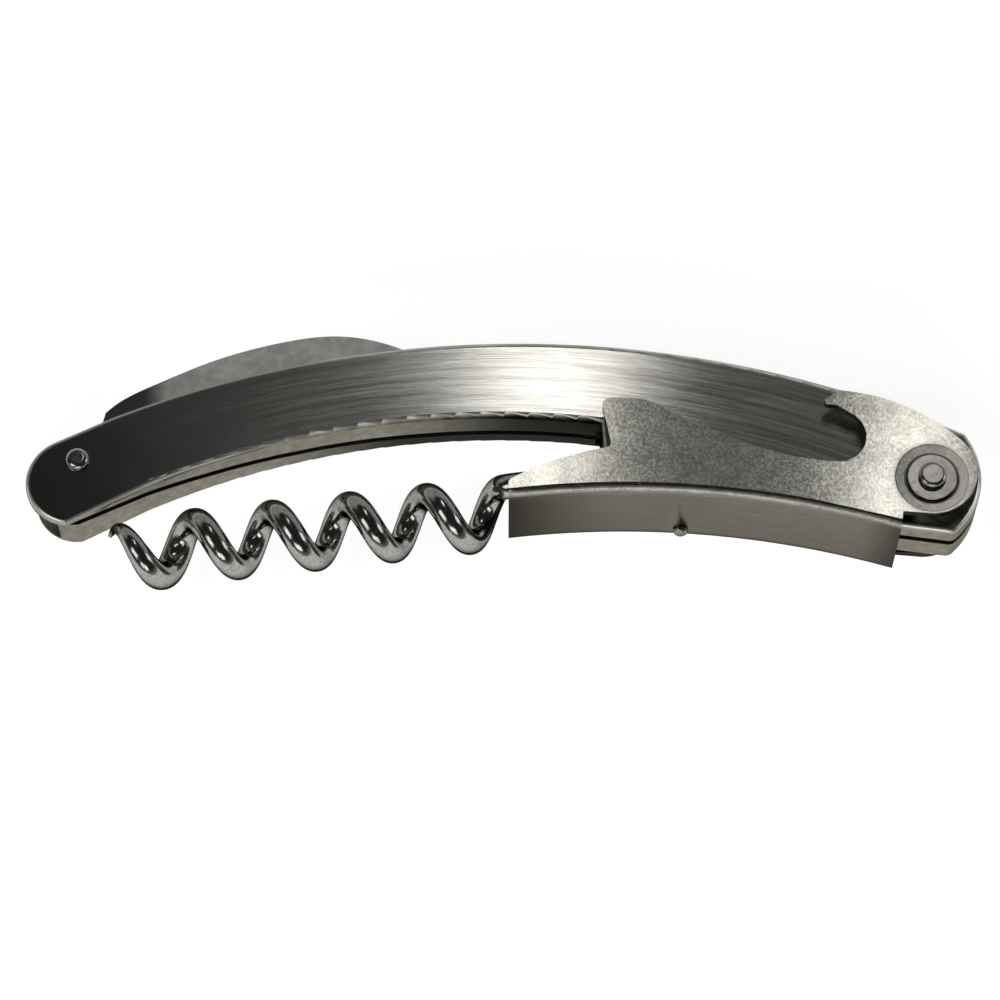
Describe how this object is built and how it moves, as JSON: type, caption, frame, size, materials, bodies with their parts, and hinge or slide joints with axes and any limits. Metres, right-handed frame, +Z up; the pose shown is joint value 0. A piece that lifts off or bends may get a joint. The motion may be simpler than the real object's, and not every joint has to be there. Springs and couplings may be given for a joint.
{
  "type": "waiter's corkscrew",
  "caption": "Folding all-steel waiter's corkscrew: curved handle shells, swing-out worm and foil knife, and a channel lever with boot prongs and cap notches.",
  "frame": {"origin": "on the lever rivet's axis, at the flat of its rear head, which is the level that the tool lies on", "axes": "+X from the knife end to the lever end, +Y from the worm's side to the knife's side, +Z up out of the front face, along all the rivets"},
  "size_m": [0.1114, 0.0325, 0.0155],
  "materials": {
    "shell_steel": "brushed along the curve, worn",
    "lever_steel": "satin, fine scratches, polished bends",
    "blade_steel": "dull ground with water marks",
    "worm_steel": "polished wire",
    "rivet_steel": "turned and peened",
    "washer_steel": "satin"
  },
  "bodies": {
    "handle": {"front_shell": "shell_steel", "rear_shell": "shell_steel", "knife_rivet": "rivet_steel", "knife_spacer_front": "rivet_steel", "knife_spacer_rear": "rivet_steel", "worm_rivet": "rivet_steel", "worm_washer_front": "washer_steel", "worm_washer_rear": "washer_steel", "lever_rivet": "rivet_steel", "lever_spacer": "rivet_steel", "lever_standoff_front": "washer_steel", "lever_standoff_rear": "washer_steel", "lever_washer_front": "washer_steel", "lever_washer_rear": "washer_steel"},
    "knife": {"knife_blade": "blade_steel"},
    "worm": {"worm": "worm_steel", "worm_knuckle": "rivet_steel"},
    "lever": {"lever": "lever_steel", "web_stud": "rivet_steel"}
  },
  "joints": [
    {"name": "knife_hinge", "type": "hinge", "parent": "handle", "child": "knife", "pos_m": [-0.0993, 0.0035, 0.00775], "axis": [0, 0, 1], "range_deg": [0, 178]},
    {"name": "lever_hinge", "type": "hinge", "parent": "handle", "child": "lever", "pos_m": [0, 0, 0.00775], "axis": [0, 0, 1], "range_deg": [0, 140]},
    {"name": "worm_hinge", "type": "hinge", "parent": "handle", "child": "worm", "pos_m": [-0.035, 0.0024, 0.00775], "axis": [0, 0, 1], "range_deg": [0, 84]}
  ],
  "couplings": [
    {"joint": "worm_hinge", "follows": "lever_hinge", "ratio": 0.6}
  ]
}
